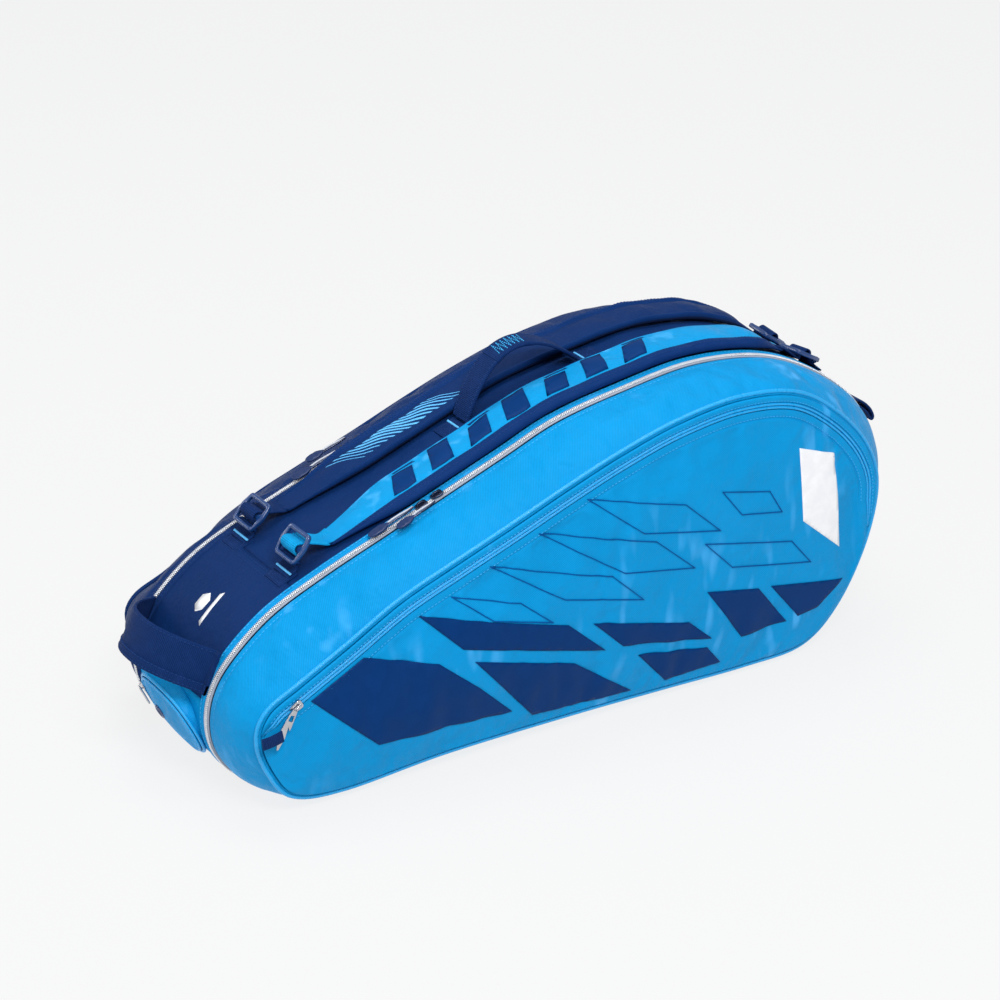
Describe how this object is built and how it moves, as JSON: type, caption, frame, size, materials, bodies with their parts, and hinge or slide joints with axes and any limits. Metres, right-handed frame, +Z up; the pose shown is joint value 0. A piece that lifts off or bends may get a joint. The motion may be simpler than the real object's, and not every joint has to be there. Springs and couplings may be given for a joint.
{
  "type": "racket tournament bag",
  "caption": "Long racket bag with a stiff spine, two zip-on side shells, a curved side pocket, a grip-end pocket, padded backpack straps and webbing handles.",
  "frame": {"origin": "on the floor plane, under the middle of the bag's overall length and width", "axes": "+X from the narrow grip end to the wide head end, +Y from the near shell to the far shell, +Z up"},
  "size_m": [0.8255, 0.3248, 0.3472],
  "materials": {
    "base_fabric": "coated dark navy base cloth",
    "buckle_plastic": "moulded navy plastic, satin",
    "lining": "dark stiffened lining board",
    "navy_fabric": "navy woven polyester, PU backed, slight sheen",
    "navy_strap": "navy mesh strap cloth over foam, navy binding",
    "navy_webbing": "ribbed navy polyester webbing",
    "pull_tab": "moulded navy rubber pull tab",
    "silver_zip": "woven zip tape with a silver coil",
    "sky_fabric": "bright sky blue woven polyester with a soft satin sheen",
    "sky_strap": "smooth sky blue strap cloth over foam, navy binding",
    "steel": "plated steel",
    "zip_tape": "sky blue zip tape with a matching coil"
  },
  "bodies": {
    "core": {"centre_divider": "lining", "spine_top_panel": "navy_fabric", "grip_end_top_panel": "navy_fabric", "grip_end_wall": "sky_fabric", "head_end_wall": "navy_fabric", "base_panel": "base_fabric", "near_zip_spine_half": "silver_zip", "far_zip_spine_half": "silver_zip", "carry_handle_grip_foot": "navy_webbing", "carry_handle_head_foot": "navy_webbing", "end_handle_near_root": "navy_webbing", "end_handle_far_root": "navy_webbing", "head_end_tab": "navy_webbing", "near_grip_anchor": "navy_webbing", "far_grip_anchor": "navy_webbing", "near_head_anchor": "navy_webbing", "far_head_anchor": "navy_webbing", "end_pocket_gusset": "sky_fabric", "end_pocket_zip": "zip_tape"},
    "near_shell": {"near_gusset": "sky_fabric", "near_zip_shell_half": "silver_zip", "near_bottom_fold": "base_fabric", "near_side_panel": "sky_fabric", "near_piping": "sky_fabric", "side_pocket_band": "sky_fabric", "side_pocket_zip": "zip_tape"},
    "far_shell": {"far_gusset": "navy_fabric", "far_zip_shell_half": "silver_zip", "far_bottom_fold": "base_fabric", "far_side_panel": "navy_fabric", "far_piping": "navy_fabric"},
    "side_pocket": {"side_pocket_front": "sky_fabric", "side_pocket_garage": "pull_tab"},
    "side_pocket_slider": {"side_pocket_slider": "steel"},
    "side_pocket_pull": {"side_pocket_pull": "steel"},
    "end_pocket": {"end_pocket_flap": "sky_fabric", "end_pocket_eyelet": "buckle_plastic", "end_pocket_slider": "steel"},
    "end_pocket_pull": {"end_pocket_pull": "steel"},
    "carry_handle": {"carry_handle_loop": "navy_webbing"},
    "end_handle": {"end_handle_loop": "navy_webbing"},
    "near_strap": {"near_strap_pad": "sky_strap", "near_grip_webbing": "navy_webbing", "near_head_webbing": "navy_webbing"},
    "near_grip_buckle": {"near_grip_buckle": "buckle_plastic"},
    "near_head_buckle": {"near_head_buckle": "buckle_plastic"},
    "near_low_slider": {"near_low_slider": "steel"},
    "near_low_pull": {"near_low_pull": "pull_tab"},
    "near_high_slider": {"near_high_slider": "steel"},
    "near_high_pull": {"near_high_pull": "pull_tab"},
    "far_strap": {"far_strap_pad": "navy_strap", "far_grip_webbing": "navy_webbing", "far_head_webbing": "navy_webbing"},
    "far_grip_buckle": {"far_grip_buckle": "buckle_plastic"},
    "far_head_buckle": {"far_head_buckle": "buckle_plastic"},
    "far_low_slider": {"far_low_slider": "steel"},
    "far_low_pull": {"far_low_pull": "pull_tab"},
    "far_high_slider": {"far_high_slider": "steel"},
    "far_high_pull": {"far_high_pull": "pull_tab"}
  },
  "joints": [
    {"name": "near_shell_opening", "type": "hinge", "parent": "core", "child": "near_shell", "pos_m": [0.0109, -0.0752, 0], "axis": [1, 0, 0], "range_deg": [0, 60]},
    {"name": "far_shell_opening", "type": "hinge", "parent": "core", "child": "far_shell", "pos_m": [0.0109, 0.0752, 0], "axis": [-1, 0, 0], "range_deg": [0, 60]},
    {"name": "side_pocket_opening", "type": "hinge", "parent": "near_shell", "child": "side_pocket", "pos_m": [0.0109, -0.1507, 0.018], "axis": [1, 0, 0], "range_deg": [0, 4.5]},
    {"name": "side_pocket_slider_travel", "type": "slide", "parent": "side_pocket", "child": "side_pocket_slider", "axis": [0.8919, 0, 0.4522], "range_m": [0, 0.11]},
    {"name": "side_pocket_pull_swing", "type": "hinge", "parent": "side_pocket_slider", "child": "side_pocket_pull", "pos_m": [-0.32181, -0.1587, 0.11328], "axis": [0, 1, 0], "range_deg": [0, 20]},
    {"name": "end_pocket_opening", "type": "hinge", "parent": "core", "child": "end_pocket", "pos_m": [-0.3579, -0.008, 0.02413], "axis": [0, -1, 0], "range_deg": [0, 60]},
    {"name": "end_pocket_pull_swing", "type": "hinge", "parent": "end_pocket", "child": "end_pocket_pull", "pos_m": [-0.38434, 0.03944, 0.06458], "axis": [0, 1, 0], "range_deg": [-2, 80]},
    {"name": "carry_handle_flop", "type": "hinge", "parent": "core", "child": "carry_handle", "pos_m": [0.02176, 0.004, 0.29201], "axis": [0.9658, 0, 0.2591], "range_deg": [-10, 10], "stiffness_Nm_per_rad": 0.03},
    {"name": "end_handle_flop", "type": "hinge", "parent": "core", "child": "end_handle", "pos_m": [-0.35932, 0, 0.12269], "axis": [0, 1, 0], "range_deg": [-25, 35], "stiffness_Nm_per_rad": 0.05},
    {"name": "near_strap_lift", "type": "slide", "parent": "core", "child": "near_strap", "axis": [-0.2654, 0, 0.9641], "range_m": [0, 0.009]},
    {"name": "near_grip_buckle_tilt", "type": "hinge", "parent": "near_strap", "child": "near_grip_buckle", "pos_m": [-0.2487, -0.0413, 0.22651], "axis": [0, 1, 0], "range_deg": [-6, 30]},
    {"name": "near_head_buckle_tilt", "type": "hinge", "parent": "near_strap", "child": "near_head_buckle", "pos_m": [0.31883, -0.0413, 0.28675], "axis": [0, -1, 0], "range_deg": [-6, 30]},
    {"name": "near_low_slider_travel", "type": "slide", "parent": "core", "child": "near_low_slider", "axis": [-0.9357, 0, -0.3527], "range_m": [0, 0.09]},
    {"name": "near_low_pull_flip", "type": "hinge", "parent": "near_low_slider", "child": "near_low_pull", "pos_m": [-0.14695, -0.0745, 0.23982], "axis": [0, 1, 0], "range_deg": [0, 110]},
    {"name": "near_high_slider_travel", "type": "slide", "parent": "core", "child": "near_high_slider", "axis": [0.9357, 0, 0.3527], "range_m": [0, 0.125]},
    {"name": "near_high_pull_flip", "type": "hinge", "parent": "near_high_slider", "child": "near_high_pull", "pos_m": [-0.12995, -0.0855, 0.24623], "axis": [0, 1, 0], "range_deg": [0, 110]},
    {"name": "far_strap_lift", "type": "slide", "parent": "core", "child": "far_strap", "axis": [-0.2654, 0, 0.9641], "range_m": [0, 0.009]},
    {"name": "far_grip_buckle_tilt", "type": "hinge", "parent": "far_strap", "child": "far_grip_buckle", "pos_m": [-0.24467, 0.04465, 0.22247], "axis": [0, 1, 0], "range_deg": [-6, 30]},
    {"name": "far_head_buckle_tilt", "type": "hinge", "parent": "far_strap", "child": "far_head_buckle", "pos_m": [0.34351, 0.04465, 0.27204], "axis": [0, -1, 0], "range_deg": [-6, 30]},
    {"name": "far_low_slider_travel", "type": "slide", "parent": "core", "child": "far_low_slider", "axis": [-0.9357, 0, -0.3527], "range_m": [0, 0.09]},
    {"name": "far_low_pull_flip", "type": "hinge", "parent": "far_low_slider", "child": "far_low_pull", "pos_m": [-0.14695, 0.0745, 0.23982], "axis": [0, 1, 0], "range_deg": [0, 110]},
    {"name": "far_high_slider_travel", "type": "slide", "parent": "core", "child": "far_high_slider", "axis": [0.9357, 0, 0.3527], "range_m": [0, 0.125]},
    {"name": "far_high_pull_flip", "type": "hinge", "parent": "far_high_slider", "child": "far_high_pull", "pos_m": [-0.12995, 0.0855, 0.24623], "axis": [0, 1, 0], "range_deg": [0, 110]}
  ]
}
